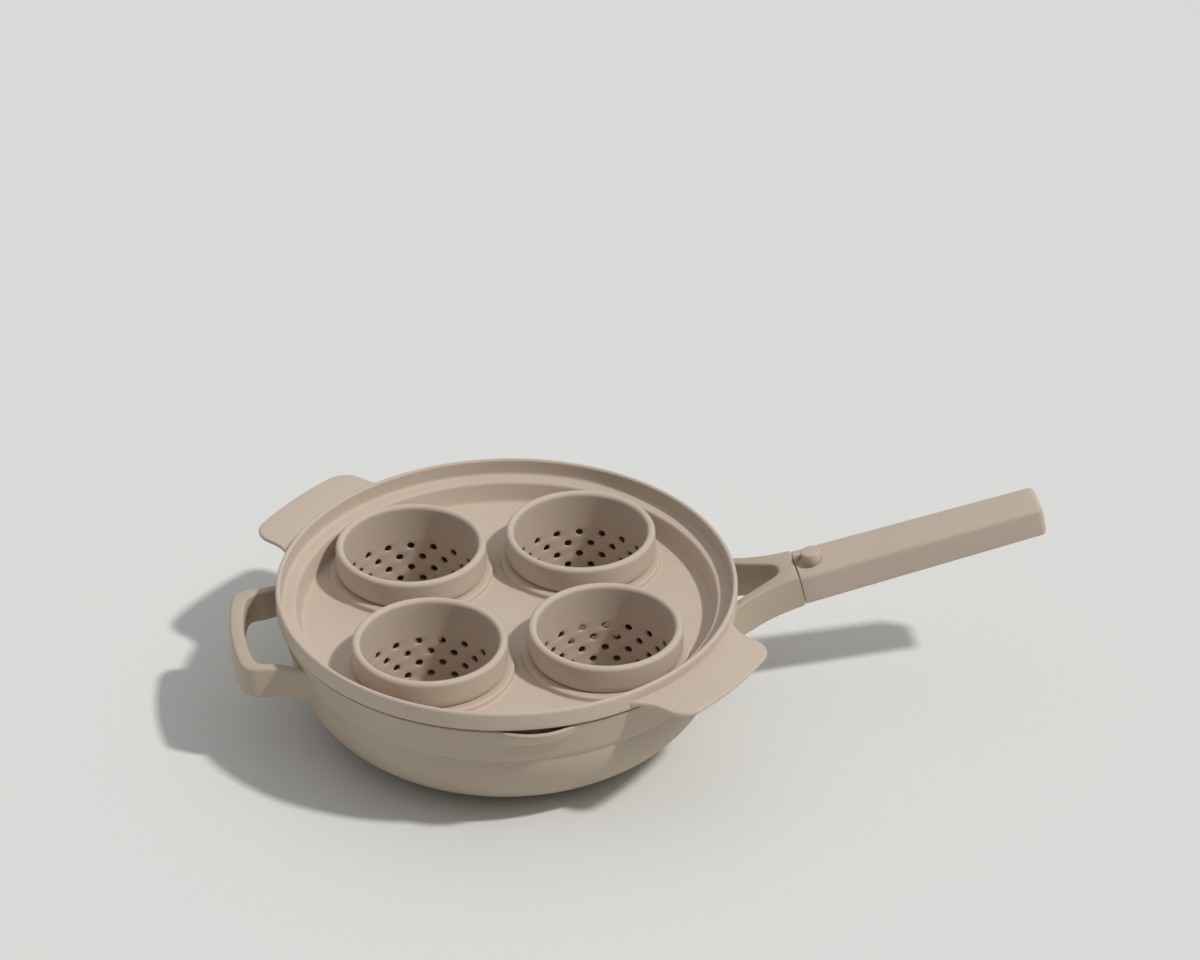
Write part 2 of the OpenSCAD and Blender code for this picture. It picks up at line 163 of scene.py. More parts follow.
class Solid:
    """Collects closed shells in millimetres and makes one Blender object of them."""

    def __init__(self, name: str) -> None:
        """Starts an empty solid with the name of its piece."""
        self.name = name
        self.verts: list[Point3] = []
        self.faces: list[tuple[int, ...]] = []
        self.sides: list[int] = []

    def add(self, verts: Sequence[Point3], faces: Sequence[Sequence[int]],
            side: Side = Side.OUTSIDE) -> None:
        """Adds a shell.

        Args:
            verts: Its corners.
            faces: Its faces, as places in verts.
            side: The material slot of its faces.
        """
        base = len(self.verts)
        self.verts.extend(verts)
        self.faces.extend(tuple(base + i for i in f) for f in faces)
        self.sides.extend([side.value] * len(faces))

    def loft(self, rings: Sequence[Sequence[Point3]], capped: bool = True, looped: bool = False,
             side: Side = Side.OUTSIDE) -> None:
        """Adds a skin over closed rings of equal length.

        Args:
            rings: The rings, in order.
            capped: Whether the first and the last ring are filled.
            looped: Whether the last ring joins the first.
            side: The material slot of the faces.
        """
        size = len(rings[0])
        faces: list[tuple[int, ...]] = []
        for r in range(len(rings) if looped else len(rings) - 1):
            low, high = r * size, ((r + 1) % len(rings)) * size
            for i in range(size):
                j = (i + 1) % size
                faces.append((low + i, low + j, high + j, high + i))
        if capped and not looped:
            faces.append(tuple(range(size))[::-1])
            faces.append(tuple((len(rings) - 1) * size + i for i in range(size)))
        self.add([v for ring in rings for v in ring], faces, side)

    def revolve(self, profile: Sequence[Point], segments: int, centre: Point = (0.0, 0.0),
                looped: bool = False, side: Side = Side.OUTSIDE,
                warp: Callable[[float, float, float], float] | None = None) -> None:
        """Adds a profile of radius and height turned about a vertical axis.

        Args:
            profile: Radius and height of each point.
            segments: Number of steps round the axis.
            centre: The axis in plan.
            looped: Whether the profile's ends join, as in a ring that leaves its axis free.
            side: The material slot of the faces.
            warp: Gives a new radius from radius, height and angle.
        """
        rings = []
        for r, z in profile:
            ring = []
            for i in range(segments):
                t = 2 * math.pi * i / segments
                reach = warp(r, z, t) if warp else r
                ring.append((centre[0] + reach * math.cos(t), centre[1] + reach * math.sin(t), z))
            rings.append(ring)
        self.loft(rings, capped=False, looped=looped, side=side)

    def plate(self, outline: Sequence[Point], low: float, high: float, edge: float, held: int = 0,
              steps: int = 4) -> None:
        """Adds a flat plate with rounded edges.

        Args:
            outline: Its closed anticlockwise outline.
            low: Height of its underside.
            high: Height of its top.
            edge: Radius of its rounded edges.
            held: How many of the outline's last points keep a square edge.
            steps: Segments in each rounded edge.
        """
        rings = []
        for i in range(steps + 1):
            t = math.radians(90 * i / steps)
            ring = inset(outline, edge * (1 - math.sin(t)), held)
            rings.append([(x, y, low + edge - edge * math.cos(t)) for x, y in ring])
        for i in range(steps + 1):
            t = math.radians(90 * i / steps)
            ring = inset(outline, edge * (1 - math.cos(t)), held)
            rings.append([(x, y, high - edge + edge * math.sin(t)) for x, y in ring])
        self.loft(rings)

    def band(self, inner: Sequence[Point], outer: Sequence[Point], top: Callable[[float, float], float],
             bottom: Callable[[float, float], float], edge: float, steps: int = 4) -> None:
        """Adds a bar between two lines in plan, with rounded long edges.

        Args:
            inner: One side's points.
            outer: The other side's points, as many.
            top: Height of the top at a point in plan.
            bottom: Height of the underside at a point in plan.
            edge: Radius of the long edges.
            steps: Segments in each rounded edge.
        """
        rings = []
        quarter = [math.radians(90 * i / steps) for i in range(steps + 1)]
        for p, q in zip(inner, outer):
            width = math.dist(p, q)
            r = min(edge, 0.45 * width)
            way = [(r * (1 - math.cos(t)), -r * (1 - math.sin(t)), True) for t in quarter]
            way += [(width - r * (1 - math.sin(t)), -r * (1 - math.cos(t)), True) for t in quarter]
            way += [(width - r * (1 - math.cos(t)), r * (1 - math.sin(t)), False) for t in quarter]
            way += [(r * (1 - math.sin(t)), r * (1 - math.cos(t)), False) for t in quarter]
            ring = []
            for across, lift, upper in way:
                x = p[0] + (q[0] - p[0]) * across / width
                y = p[1] + (q[1] - p[1]) * across / width
                ring.append((x, y, (top if upper else bottom)(x, y) + lift))
            rings.append(ring)
        self.loft(rings)

    def sheet_with_holes(self, outer_r: float, holes: Sequence[tuple[Point, float, int]], segments: int,
                         low: float, high: float, rim_wall: bool = True) -> None:
        """Adds a level disc with round holes.

        Args:
            outer_r: Radius of the disc.
            holes: Centre, radius and number of segments of each hole.
            segments: Number of segments round the disc.
            low: Height of its underside.
            high: Height of its top.
            rim_wall: Whether the disc's own edge gets a wall.
        """
        loops = [arc(0, 0, outer_r, 0, 360, segments)[:-1]]
        loops += [arc(c[0], c[1], r, 0, 360, n)[:-1] for c, r, n in holes]
        flat: list[Vector] = []
        edges: list[tuple[int, int]] = []
        for loop in loops:
            base = len(flat)
            flat.extend(Vector(p) for p in loop)
            edges.extend((base + i, base + (i + 1) % len(loop)) for i in range(len(loop)))
        found, _, tris, *_ = delaunay_2d_cdt(flat, edges, [], 0, 1e-6)
        kept = []
        for tri in tris:
            middle = sum((found[i] for i in tri), Vector((0, 0))) / len(tri)
            inside = middle.length < outer_r * math.cos(math.pi / segments)
            clear = all((middle - Vector(c)).length > r * math.cos(math.pi / n) for c, r, n in holes)
            if inside and clear:
                kept.append(tuple(tri))
        count = len(found)
        sided = {}
        for tri in kept:
            for a, b in zip(tri, tri[1:] + tri[:1]):
                sided[(a, b)] = True
        walls = []
        for a, b in sided:
            on_rim = abs(found[a].length - outer_r) < 1e-4 and abs(found[b].length - outer_r) < 1e-4
            if (b, a) not in sided and (rim_wall or not on_rim):
                walls.append((a, a + count, b + count, b))
        verts = [(p.x, p.y, high) for p in found] + [(p.x, p.y, low) for p in found]
        self.add(verts, kept + [tuple(i + count for i in reversed(tri)) for tri in kept] + walls)

    def mesh(self, merge: float = 0.002) -> bpy.types.Mesh:
        """Makes a mesh in metres, with outward faces and sharp edges marked.

        Args:
            merge: Corners closer than this, in millimetres, become one.

        Returns:
            The new mesh.
        """
        data = bpy.data.meshes.new(self.name)
        data.from_pydata(self.verts, [], self.faces)
        for polygon, side in zip(data.polygons, self.sides):
            polygon.material_index = side
        work = bmesh.new()
        work.from_mesh(data)
        bmesh.ops.remove_doubles(work, verts=work.verts, dist=merge)
        bmesh.ops.dissolve_degenerate(work, edges=work.edges, dist=merge / 10)
        loose = [v for v in work.verts if not v.link_faces]
        bmesh.ops.delete(work, geom=loose, context="VERTS")
        bmesh.ops.recalc_face_normals(work, faces=work.faces)
        work.to_mesh(data)
        work.free()
        data.transform(Matrix.Scale(MM, 4))
        smooth(data)
        return data

    def build(self) -> bpy.types.Object:
        """Makes the Blender object and links it to the scene."""
        return placed(self.name, self.mesh())


def smooth(data: bpy.types.Mesh) -> None:
    """Shades a mesh smooth, with its folds kept sharp."""
    data.polygons.foreach_set("use_smooth", [True] * len(data.polygons))
    data.set_sharp_from_angle(angle=SHARP_ANGLE)
    data.update()


def placed(name: str, data: bpy.types.Mesh) -> bpy.types.Object:
    """Links a new object with this mesh to the scene and returns it."""
    piece = bpy.data.objects.new(name, data)
    bpy.context.scene.collection.objects.link(piece)
    return piece


def applied(piece: bpy.types.Object) -> bpy.types.Object:
    """Turns a piece's modifiers into plain mesh.

    Args:
        piece: The object whose modifiers are evaluated.

    Returns:
        The same object, with no modifier left.
    """
    bpy.context.view_layer.update()
    seen = piece.evaluated_get(bpy.context.evaluated_depsgraph_get())
    data = bpy.data.meshes.new_from_object(seen)
    piece.modifiers.clear()
    piece.data = data
    return piece


def dropped(*pieces: bpy.types.Object) -> None:
    """Removes helper objects that were only inputs."""
    for piece in pieces:
        bpy.data.objects.remove(piece)


def srgb(red: int, green: int, blue: int) -> tuple[float, float, float, float]:
    """A colour written as 0 to 255 in the usual display encoding, as Blender's linear one."""
    def line(value: int) -> float:
        v = value / 255
        return v / 12.92 if v <= 0.04045 else ((v + 0.055) / 1.055) ** 2.4
    return (line(red), line(green), line(blue), 1.0)


class NodeSheet:
    """A short way to place and join nodes in one tree."""

    def __init__(self, tree: bpy.types.NodeTree) -> None:
        """Keeps the tree that is written to."""
        self.tree = tree

    def add(self, kind: str, **settings: object) -> bpy.types.Node:
        """Adds a node of a kind and sets its properties."""
        node = self.tree.nodes.new(kind)
        for key, value in settings.items():
            setattr(node, key, value)
        return node

    def join(self, source: bpy.types.NodeSocket, target: bpy.types.NodeSocket) -> None:
        """Links an output to an input."""
        self.tree.links.new(source, target)

    def math(self, operation: str, first: object, second: object = 0.0) -> bpy.types.NodeSocket:
        """Adds a Math node.

        Args:
            operation: Its operation.
            first: A number or an output.
            second: A number or an output.

        Returns:
            The node's output.
        """
        node = self.add("ShaderNodeMath", operation=operation)
        for place, value in enumerate((first, second)):
            if isinstance(value, bpy.types.NodeSocket):
                self.join(value, node.inputs[place])
            else:
                node.inputs[place].default_value = value
        return node.outputs[0]


def grain_group() -> bpy.types.NodeTree:
    """The shader group for fine grain and slow mottling that all finishes share.

    Returns:
        A group with inputs Light, Dark, Grain, Mottle and Dust and outputs Color, Mask and Height.
    """
    tree = bpy.data.node_groups.new("surface_grain", "ShaderNodeTree")
    for name, kind, value in (
        ("Light", "NodeSocketColor", (0.8, 0.8, 0.8, 1)), ("Dark", "NodeSocketColor", (0.6, 0.6, 0.6, 1)),
        ("Grain", "NodeSocketFloat", 2500.0), ("Mottle", "NodeSocketFloat", 30.0),
        ("Dust", "NodeSocketFloat", 0.5),
    ):
        tree.interface.new_socket(name=name, in_out="INPUT", socket_type=kind).default_value = value
    for name, kind in (("Color", "NodeSocketColor"), ("Mask", "NodeSocketFloat"),
                       ("Height", "NodeSocketFloat")):
        tree.interface.new_socket(name=name, in_out="OUTPUT", socket_type=kind)
    sheet = NodeSheet(tree)
    given = sheet.add("NodeGroupInput")
    result = sheet.add("NodeGroupOutput")
    place = sheet.add("ShaderNodeTexCoord")
    fine = sheet.add("ShaderNodeTexNoise")
    slow = sheet.add("ShaderNodeTexNoise")
    fine.inputs["Detail"].default_value = 3.0
    fine.inputs["Roughness"].default_value = 0.65
    slow.inputs["Detail"].default_value = 4.0
    for node, scale in ((fine, "Grain"), (slow, "Mottle")):
        sheet.join(place.outputs["Object"], node.inputs["Vector"])
        sheet.join(given.outputs[scale], node.inputs["Scale"])
    spread = sheet.math("MULTIPLY", sheet.math("SUBTRACT", fine.outputs["Fac"], 0.5), given.outputs["Dust"])
    drift = sheet.math("MULTIPLY", sheet.math("SUBTRACT", slow.outputs["Fac"], 0.5), 0.9)
    mask = sheet.math("ADD", sheet.math("ADD", spread, drift), 0.5)
    blend = sheet.add("ShaderNodeMix", data_type="RGBA")
    sheet.join(mask, blend.inputs["Factor"])
    sheet.join(given.outputs["Dark"], blend.inputs[6])
    sheet.join(given.outputs["Light"], blend.inputs[7])
    sheet.join(blend.outputs[2], result.inputs["Color"])
    sheet.join(mask, result.inputs["Mask"])
    sheet.join(fine.outputs["Fac"], result.inputs["Height"])
    return tree


class Coat(Enum):
    """How a finish reflects."""

    MATTE = "matte"
    METAL = "metal"


@dataclass(frozen=True)
class Finish:
    """One surface finish: its colours, its grain and how it reflects."""

    name: str
    light: Colour
    dark: Colour
    grain: float
    mottle: float
    dust: float
    roughness: tuple[float, float]
    bump: float
    coat: Coat = Coat.MATTE
    specular: float = 0.4
    sheen: float = 0.0

    def material(self, grain: bpy.types.NodeTree) -> bpy.types.Material:
        """Builds the material.

        Args:
            grain: The shared grain group.

        Returns:
            A node material in Object coordinates.
        """
        found = bpy.data.materials.new(self.name)
        found.use_nodes = True
        sheet = NodeSheet(found.node_tree)
        shader = found.node_tree.nodes["Principled BSDF"]
        group = sheet.add("ShaderNodeGroup", node_tree=grain)
        group.inputs["Light"].default_value = srgb(*self.light)
        group.inputs["Dark"].default_value = srgb(*self.dark)
        group.inputs["Grain"].default_value = self.grain
        group.inputs["Mottle"].default_value = self.mottle
        group.inputs["Dust"].default_value = self.dust
        sheet.join(group.outputs["Color"], shader.inputs["Base Color"])
        spread = sheet.add("ShaderNodeMapRange")
        spread.inputs["To Min"].default_value = self.roughness[0]
        spread.inputs["To Max"].default_value = self.roughness[1]
        sheet.join(group.outputs["Mask"], spread.inputs["Value"])
        sheet.join(spread.outputs["Result"], shader.inputs["Roughness"])
        bump = sheet.add("ShaderNodeBump")
        bump.inputs["Strength"].default_value = 0.35
        bump.inputs["Distance"].default_value = self.bump * MM
        sheet.join(group.outputs["Height"], bump.inputs["Height"])
        sheet.join(bump.outputs["Normal"], shader.inputs["Normal"])
        shader.inputs["Specular IOR Level"].default_value = self.specular
        shader.inputs["Metallic"].default_value = 1.0 if self.coat is Coat.METAL else 0.0
        shader.inputs["Sheen Weight"].default_value = self.sheen
        return found


FINISHES = (
    Finish("baked_enamel", (197, 182, 161), (173, 157, 137), 1900, 18, 1.5, (0.44, 0.60), 0.06,
           specular=0.45),
    Finish("ceramic_coat", (206, 205, 200), (186, 184, 178), 1400, 22, 0.7, (0.24, 0.34), 0.02,
           specular=0.5),
    Finish("soft_silicone", (204, 188, 171), (194, 177, 160), 900, 14, 0.35, (0.55, 0.66), 0.02,
           specular=0.32, sheen=0.06),
    Finish("grip_moulding", (203, 186, 170), (193, 175, 158), 2300, 12, 0.6, (0.52, 0.62), 0.03,
           specular=0.34),
    Finish("ground_steel", (186, 187, 188), (150, 151, 153), 700, 60, 1.0, (0.28, 0.42), 0.01, Coat.METAL),
    Finish("screw_steel", (190, 190, 190), (160, 160, 162), 900, 90, 0.8, (0.25, 0.38), 0.01, Coat.METAL),
    Finish("turned_brass", (200, 170, 108), (170, 138, 80), 900, 90, 0.8, (0.28, 0.40), 0.01, Coat.METAL),
)


class Palette:
    """Every material of the object, built once."""

    def __init__(self) -> None:
        """Builds the shared group and each finish."""
        grain = grain_group()
        self.found = {finish.name: finish.material(grain) for finish in FINISHES}

    def __getitem__(self, name: str) -> bpy.types.Material:
        """The material with this name."""
        return self.found[name]

    def dress(self, piece: bpy.types.Object, *names: str) -> bpy.types.Object:
        """Gives a piece its materials in the order of its slots.

        Args:
            piece: The object.
            names: The materials' names.

        Returns:
            The same object.
        """
        piece.data.materials.clear()
        for name in names:
            piece.data.materials.append(self[name])
        return piece


def hand_over(piece: bpy.types.Object, body: str, slot: str, *nodes: str) -> None:
    """Fixes a finished piece to its body and reports it.

    Args:
        piece: The finished object.
        body: The body it rides on.
        slot: Not used.
        nodes: The nodes that it stands for.
    """
    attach(piece, body)
    if nodes:
        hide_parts(*nodes)
    LOG.info("%s rides on %s: %d faces", piece.name, body, len(piece.data.polygons))


@dataclass
class Pan:
    """The casting: bowl, pour spouts, helper loop and fork, in millimetres."""

    rim_r: float = 132.5
    rim_z: float = 75.0
    base_r: float = 74.0
    wall: float = 4.0
    base_t: float = 6.0
    band_h: float = 24.5
    band_taper: float = 5.5
    band_step: float = 0.6
    plate_r: float = 63.0
    plate_t: float = 1.4
    spout_out: float = 5.0
    spout_r: float = 39.0
    spout_depth: float = 11.0
    spout_wall: float = 2.4
    helper_out: float = 29.0
    helper_half: float = 41.5
    helper_bow: float = 3.2
    helper_bar: float = 8.4
    helper_arm: float = 5.6
    helper_corner: float = 10.0
    helper_h: float = 20.0
    helper_drop: float = 6.5
    fork_len: float = 37.6
    tilt: float = 12.9
    fork_drop: float = 1.6
    fork_h: float = 20.8
    fork_root_h: float = 24.5
    fork_spread: float = 34.0
    fork_eye_r: float = 8.0
    fork_neck: float = 10.1
    fork_flare: float = 28.0
    grip_half: float = 14.9
    cast_edge: float = 1.8
    end_taper: float = 0.9
    segments: int = 360
    joint: Point = field(init=False)

    @property
    def bowl_r(self) -> float:
        """Radius of the bowl just below the band."""
        return self.rim_r - self.band_taper - self.band_step

    @property
    def root_x(self) -> float:
        """Where the fork starts, inside the bowl's wall."""
        return self.bowl_r - self.wall / 2 - 4.5

    def __post_init__(self) -> None:
        """Works out where the grip's seam starts: distance from the axis and height."""
        rise = self.fork_len * math.tan(math.radians(self.tilt))
        self.joint = (self.rim_r + self.fork_len, self.rim_z - self.fork_drop + rise)

    def bulge(self, r: float, z: float, turn: float) -> float:
        """The radius of the wall, pushed out round the two spouts.

        Args:
            r: Radius of the plain wall.
            z: Height.
            turn: Angle round the axis.

        Returns:
            The new radius.
        """
        depth = (self.rim_z - z) / self.spout_depth
        plain = self.rim_r - self.band_taper * (self.rim_z - z) / self.band_h
        centre = self.rim_r + self.spout_out - self.spout_r
        aside = math.cos(turn) * centre
        if depth >= 1 or r < plain - self.wall - 2 or self.spout_r <= abs(aside):
            return r
        reach = abs(math.sin(turn)) * centre + math.sqrt(self.spout_r ** 2 - aside ** 2)
        fade = 1 - math.sqrt(max(1 - max(depth, 0.0) ** 2, 0.0))
        push = reach - (self.spout_out + self.wall) * fade - plain
        if r < plain - self.spout_wall / 2:
            push += self.wall - self.spout_wall
        soft = 0.6
        return r + max((push + math.sqrt(push * push + soft * soft)) / 2 - soft / 2, 0.0)

    def bowl(self, solid: Solid) -> None:
        """Adds the bowl, its outside first and its coated inside last."""
        low_z = self.rim_z - self.band_h
        slope = self.band_taper / self.band_h
        out_r, in_r, round_r = self.bowl_r, self.rim_r - self.wall, 1.0
        foot, groove = 1.6, 0.3
        outside = [(0, self.plate_t), (self.plate_r + 0.05, self.plate_t), (self.plate_r + 0.05, groove),
                   (self.plate_r + 0.05 + groove, 0)]
        outside += arc(self.base_r - foot, foot, foot, 270, 310, 3)
        for i in range(2, 25):
            t = math.radians(90 * i / 24)
            outside.append((self.base_r + (out_r - self.base_r) * math.sin(t), low_z * (1 - math.cos(t))))
        outside += [(self.rim_r - self.band_taper, low_z + self.band_step)]
        depths = (20, 16, 13, 12, 11, 10, 9, 8, 7, 6, 5, 4, 3, 2)
        outside += [(self.rim_r - slope * d, self.rim_z - d) for d in depths]
        outside += arc(self.rim_r - round_r, self.rim_z - round_r, round_r, 0, 90, 4)
        inside = arc(in_r + round_r, self.rim_z - round_r, round_r, 90, 180, 4)
        inside += [(in_r - slope * d, self.rim_z - d) for d in reversed(depths)]
        for i in range(25):
            t = math.radians(90 - 90 * i / 24)
            foot_r = self.base_r - self.base_t
            reach = (in_r - self.band_taper - foot_r) * math.sin(t)
            inside.append((foot_r + reach, low_z - (low_z - self.base_t) * math.cos(t)))
        inside.append((0, self.base_t))
        solid.revolve(outside, self.segments, warp=self.bulge)
        solid.revolve([outside[-1]] + inside, self.segments, side=Side.INSIDE, warp=self.bulge)

    def helper(self, solid: Solid) -> None:
        """Adds the helper loop as one bent bar that runs into the bowl's wall."""
        def side(edge: float, bow_x: float, corner: float) -> list[Point]:
            root = self.bowl_r - self.wall / 2
            line = bezier((root - 13, edge + 11), (self.rim_r - 4, edge + 4), (self.rim_r + 4, edge + 0.6),
                          (bow_x - self.helper_bow - corner - 2, edge), 14)
            return line + arc(bow_x - self.helper_bow - corner, edge - corner, corner, 90, 12, 8)
        outer_x = self.rim_r + self.helper_out
        inner_x = outer_x - self.helper_bar
        outer = side(self.helper_half, outer_x, self.helper_corner)
        inner = side(self.helper_half - self.helper_arm, inner_x, self.helper_corner - 2)
        outer = outer[:-1] + bezier(outer[-1], (outer_x - 0.8, 22), (outer_x, 9), (outer_x, 0), 8)
        inner = inner[:-1] + bezier(inner[-1], (inner_x - 0.8, 20), (inner_x, 8), (inner_x, 0), 8)
        count = 61
        out_line = resampled(outer + mirrored(outer)[1:], count)
        in_line = resampled(inner + mirrored(inner)[1:], count)
        turned_out = [(-x, y) for x, y in out_line]
        turned_in = [(-x, y) for x, y in in_line]
        top = self.rim_z - self.helper_drop
        solid.band(turned_in, turned_out, lambda x, y: top, lambda x, y: top - self.helper_h, self.cast_edge)

    def fork_side(self) -> list[Point]:
        """The fork's outer side in plan, from the pan to the seam."""
        return bezier((self.root_x, self.fork_spread), (self.rim_r + 10, 19),
                      (self.rim_r + 24, self.grip_half + 0.3), (self.joint[0], self.grip_half), 18)

    def fork(self, solid: Solid) -> None:
        """Adds the fork: one bar round the opening, its outside run past the seam's end face."""
        eye_x = self.joint[0] - self.fork_neck - self.fork_eye_r
        spread = 90 - self.fork_flare
        root_x = self.root_x
        end_x = eye_x + self.fork_eye_r * math.cos(math.radians(spread))
        flare_y = self.fork_eye_r * math.sin(math.radians(spread))
        flare_y += (end_x - root_x) * math.tan(math.radians(self.fork_flare))
        eye = [(root_x + 1, flare_y - 0.5)] + arc(eye_x, 0, self.fork_eye_r, spread, 0, 8)
        side = self.fork_side()
        half_in = resampled(eye, 24)
        end = [(self.joint[0], self.grip_half), (self.joint[0], 0)]
        half_out = resampled(side, 15)[:-1] + resampled(end, 10)
        inner = half_in + mirrored(half_in)[1:]
        outer = half_out + mirrored(half_out)[1:]
        slope = math.tan(math.radians(self.tilt))
        drop = self.fork_h / math.cos(math.radians(self.tilt))
        root_low = self.joint[1] - (self.joint[0] - root_x) * slope - self.fork_root_h
        low = bezier((root_x, root_low), (self.rim_r + 12, root_low + 6),
                     (self.joint[0] - 16, self.joint[1] - drop - 16 * slope),
                     (self.joint[0] + 6, self.joint[1] - drop + 6 * slope), 40)

        def top(x: float, y: float) -> float:
            return self.joint[1] - (self.joint[0] - x) * slope

        def bottom(x: float, y: float) -> float:
            for a, b in zip(low, low[1:]):
                if a[0] <= x <= b[0]:
                    return a[1] + (b[1] - a[1]) * (x - a[0]) / (b[0] - a[0])
            return low[0][1]

        first = len(solid.verts)
        solid.band(inner, outer, top, bottom, self.cast_edge)
        lean = math.sin(math.radians(self.tilt))
        for i in range(first, len(solid.verts)):
            x, y, z = solid.verts[i]
            share = min(max((x - self.joint[0] + self.fork_neck) / self.fork_neck, 0.0), 1.0)
            deep = share * (top(x, y) - z)
            y -= y / self.grip_half * self.end_taper * deep / self.fork_h
            solid.verts[i] = (x + deep * lean * math.sqrt(1 - lean * lean), y, z + deep * lean * lean)

    def seat_roots(self, solid: Solid, first: int) -> None:
        """Draws the ends of the helper and the fork back to the middle of the bowl's wall.

        Args:
            solid: The casting so far.
            first: The first vertex that belongs to the helper or the fork.
        """
        for i in range(first, len(solid.verts)):
            x, y, z = solid.verts[i]
            middle = self.rim_r - self.band_taper * (self.rim_z - z) / self.band_h - self.wall / 2
            r = math.hypot(x, y)
            if r < middle:
                solid.verts[i] = (x * middle / r, y * middle / r, z)

    def build(self, palette: Palette) -> None:
        """Makes the casting, dresses it and puts it on the pan."""
        solid = Solid("pan_casting")
        self.bowl(solid)
        first = len(solid.verts)
        self.helper(solid)
        self.fork(solid)
        self.seat_roots(solid, first)
        piece = palette.dress(solid.build(), "baked_enamel", "ceramic_coat")
        hand_over(piece, "pan", "pan_cast", "pan_body")


def geometry_tree(name: str, inputs: Sequence[tuple[str, str, object]]
                  ) -> tuple[NodeSheet, bpy.types.Node, bpy.types.Node]:
    """Starts a Geometry Nodes tree with named inputs.

    Args:
        name: The tree's name.
        inputs: Name, socket type and first value of each input after the geometry.

    Returns:
        The sheet to write on, the input node and the output node.
    """
    tree = bpy.data.node_groups.new(name, "GeometryNodeTree")
    tree.interface.new_socket(name="Geometry", in_out="INPUT", socket_type="NodeSocketGeometry")
    for label, kind, value in inputs:
        socket = tree.interface.new_socket(name=label, in_out="INPUT", socket_type=kind)
        if value is not None:
            socket.default_value = value
    tree.interface.new_socket(name="Geometry", in_out="OUTPUT", socket_type="NodeSocketGeometry")
    sheet = NodeSheet(tree)
    return sheet, sheet.add("NodeGroupInput"), sheet.add("NodeGroupOutput")


def run_tree(piece: bpy.types.Object, sheet: NodeSheet, values: dict[str, object]) -> bpy.types.Object:
    """Runs a Geometry Nodes tree on a piece and keeps its result as plain mesh.

    Args:
        piece: The object that gives the tree its geometry.
        sheet: The tree's sheet.
        values: The value of each named input.

    Returns:
        The same object with the result as its mesh.
    """
    modifier = piece.modifiers.new("rule", "NODES")
    modifier.node_group = sheet.tree
    sockets = {s.name: s.identifier for s in sheet.tree.interface.items_tree if s.in_out == "INPUT"}
    for name, value in values.items():
        modifier[sockets[name]] = value
    return applied(piece)


def key_ring_tree() -> NodeSheet:
    """The tree that sets copies of one stud on two rings.

    Returns:
        The sheet of a tree with inputs Outer Radius, Inner Radius, Outer Count, Inner Count and Finish.
    """
    sheet, given, result = geometry_tree("key_studs", (
        ("Outer Radius", "NodeSocketFloat", 0.068), ("Inner Radius", "NodeSocketFloat", 0.034),
        ("Outer Count", "NodeSocketInt", 24), ("Inner Count", "NodeSocketInt", 12),
        ("Finish", "NodeSocketMaterial", None),
    ))
    both = sheet.add("GeometryNodeJoinGeometry")
    for ring in ("Outer", "Inner"):
        circle = sheet.add("GeometryNodeMeshCircle")
        copies = sheet.add("GeometryNodeInstanceOnPoints")
        sheet.join(given.outputs[f"{ring} Count"], circle.inputs["Vertices"])
        sheet.join(given.outputs[f"{ring} Radius"], circle.inputs["Radius"])
        sheet.join(circle.outputs["Mesh"], copies.inputs["Points"])
        sheet.join(given.outputs["Geometry"], copies.inputs["Instance"])
        sheet.join(copies.outputs["Instances"], both.inputs["Geometry"])
    real = sheet.add("GeometryNodeRealizeInstances")
    finish = sheet.add("GeometryNodeSetMaterial")
    sheet.join(both.outputs["Geometry"], real.inputs["Geometry"])
    sheet.join(real.outputs["Geometry"], finish.inputs["Geometry"])
    sheet.join(given.outputs["Finish"], finish.inputs["Material"])
    sheet.join(finish.outputs["Geometry"], result.inputs["Geometry"])
    return sheet


@dataclass
class Base:
    """The steel plate's keys, in millimetres."""

    plate_r: float = 63.0
    plate_t: float = 1.4
    key_r: float = 2.9
    key_count: int = 24

    def build(self, palette: Palette) -> None:
        """Sets the casting's round studs in the plate's key holes."""
        stud = Solid("base_keys")
        dome = 0.3
        stud.revolve([(0, self.plate_t + 0.2), (self.key_r, self.plate_t + 0.2), (self.key_r, dome),
                      (self.key_r - dome, 0.05), (0, 0.05)], 20)
        ring = self.plate_r - 12
        piece = run_tree(stud.build(), key_ring_tree(), {
            "Outer Radius": ring * MM, "Inner Radius": ring / 2 * MM,
            "Outer Count": self.key_count, "Inner Count": self.key_count // 2,
            "Finish": palette["ceramic_coat"],
        })
        smooth(piece.data)
        hand_over(piece, "pan", "pan_cast")


